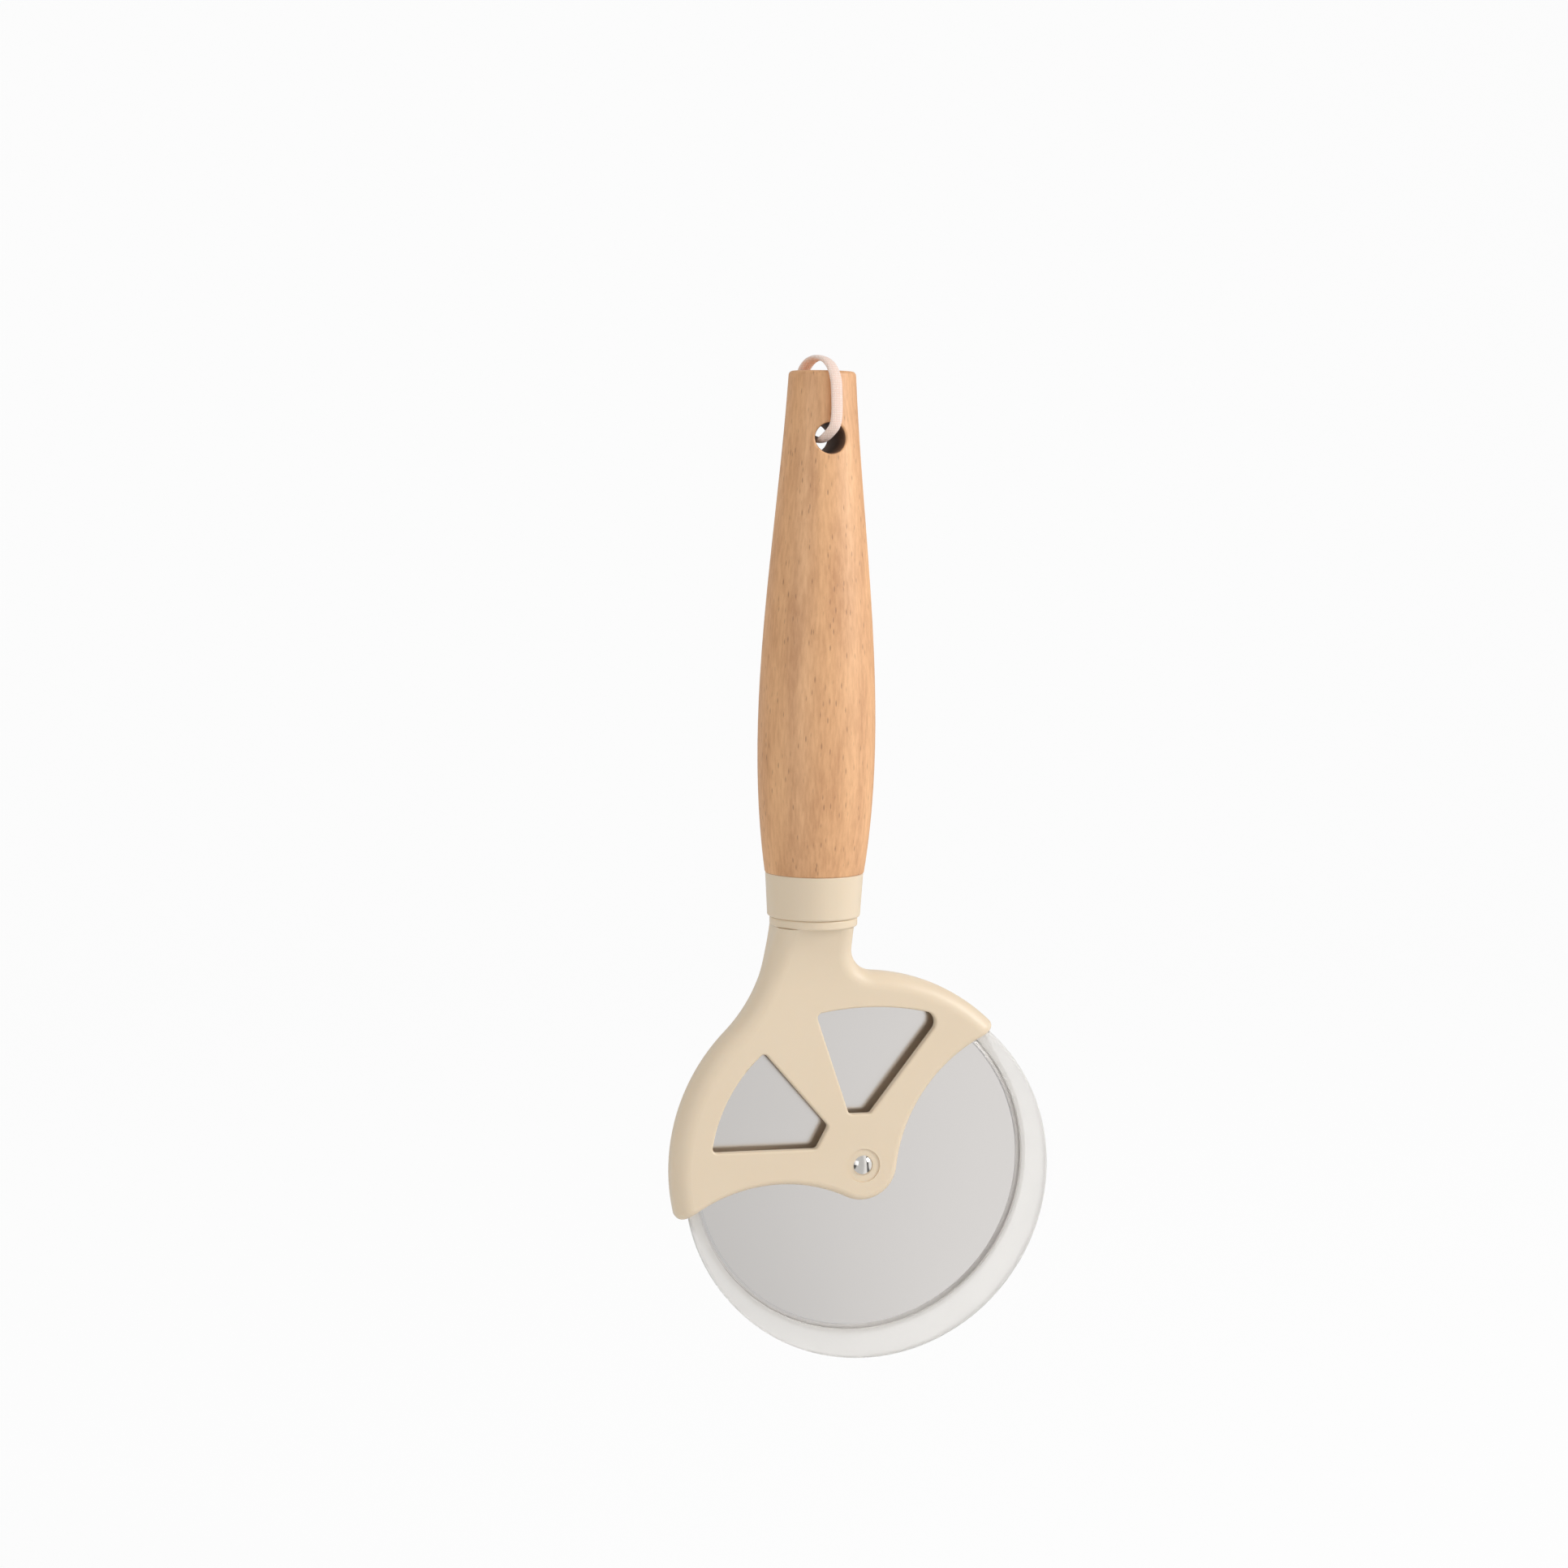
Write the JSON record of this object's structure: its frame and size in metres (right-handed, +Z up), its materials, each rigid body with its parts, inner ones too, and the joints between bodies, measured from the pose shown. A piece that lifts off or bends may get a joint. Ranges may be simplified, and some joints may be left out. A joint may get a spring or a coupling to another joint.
{
  "type": "pizza cutter wheel",
  "caption": "Hand pizza cutter: a steel wheel in a split plastic frame under a turned wooden handle with a hang hole and strap, its free edge in a slip-on guard.",
  "frame": {"origin": "centre of the hang hole through the upper end of the handle", "axes": "+Z up along the handle's axis towards its top end, +X to the right in the front view, the side on which the wheel's axle is offset, and the front of the tool faces -Y; the wheel's axle runs along Y"},
  "size_m": [0.0902, 0.0266, 0.2298],
  "materials": {
    "beech_wood": "fine-sanded, oiled",
    "white_strap": "woven cotton",
    "brass": "machined",
    "zinc_steel": "zinc plated",
    "cream_plastic": "satin moulded",
    "bright_chrome": "polished",
    "slippery_plastic": "plain",
    "satin_steel": "satin, ground edge",
    "clear_plastic": "frosted translucent"
  },
  "bodies": {
    "holder": {"handle": "beech_wood", "hang_strap": "white_strap", "tang_insert": "brass", "tang_stud": "zinc_steel", "neck_nut": "zinc_steel", "neck_washer": "zinc_steel", "ferrule": "cream_plastic", "neck_ring": "cream_plastic", "frame_front": "cream_plastic", "frame_back": "cream_plastic", "frame_screw_left": "zinc_steel", "frame_screw_right": "zinc_steel", "axle_sleeve": "zinc_steel", "axle_rivet": "bright_chrome", "rivet_washer": "zinc_steel", "spacer_front": "slippery_plastic", "spacer_back": "slippery_plastic"},
    "wheel": {"wheel": "satin_steel", "wheel_bush": "zinc_steel"},
    "guard": {"blade_guard": "clear_plastic"}
  },
  "joints": [
    {"name": "wheel_spin", "type": "hinge", "parent": "holder", "child": "wheel", "pos_m": [0.0116, 0, -0.1652], "axis": [0, 1, 0], "continuous": true},
    {"name": "guard_slide", "type": "slide", "parent": "holder", "child": "guard", "axis": [0.5, 0, -0.866], "range_m": [0, 0.06]}
  ]
}
